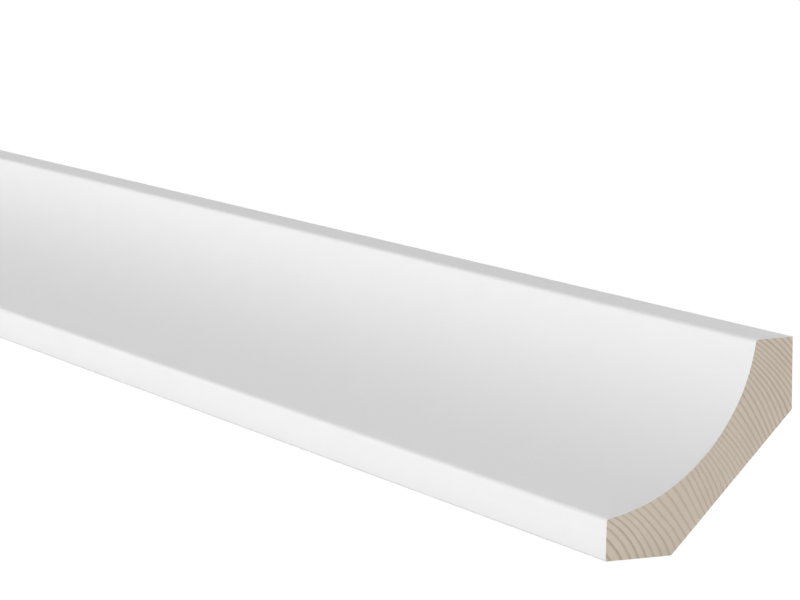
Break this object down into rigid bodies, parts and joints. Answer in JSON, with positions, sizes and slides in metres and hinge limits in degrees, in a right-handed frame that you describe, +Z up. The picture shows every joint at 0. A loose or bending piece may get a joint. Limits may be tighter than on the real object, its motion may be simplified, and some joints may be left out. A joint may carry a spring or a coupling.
{
  "type": "cove moulding",
  "caption": "Straight cove moulding of white-painted pine: a hollow face between narrow flats, a bevelled back and square-cut bare ends, to cover the corner of a wall and a ceiling or floor.",
  "frame": {"origin": "middle of the wall face, at half the length and half the face's height", "axes": "+X along the moulding, +Y into the wall and square to the wall face, +Z up; the bedding face looks down and the hollow looks up and out"},
  "size_m": [0.5, 0.04, 0.04],
  "materials": {
    "painted_pine": "factory-sprayed white paint, satin, on the hollow and both flats; bare planed pine on the wall, bedding and back faces; bare sawn end grain"
  },
  "bodies": {
    "root": {"cove_moulding": "painted_pine"}
  },
  "joints": []
}
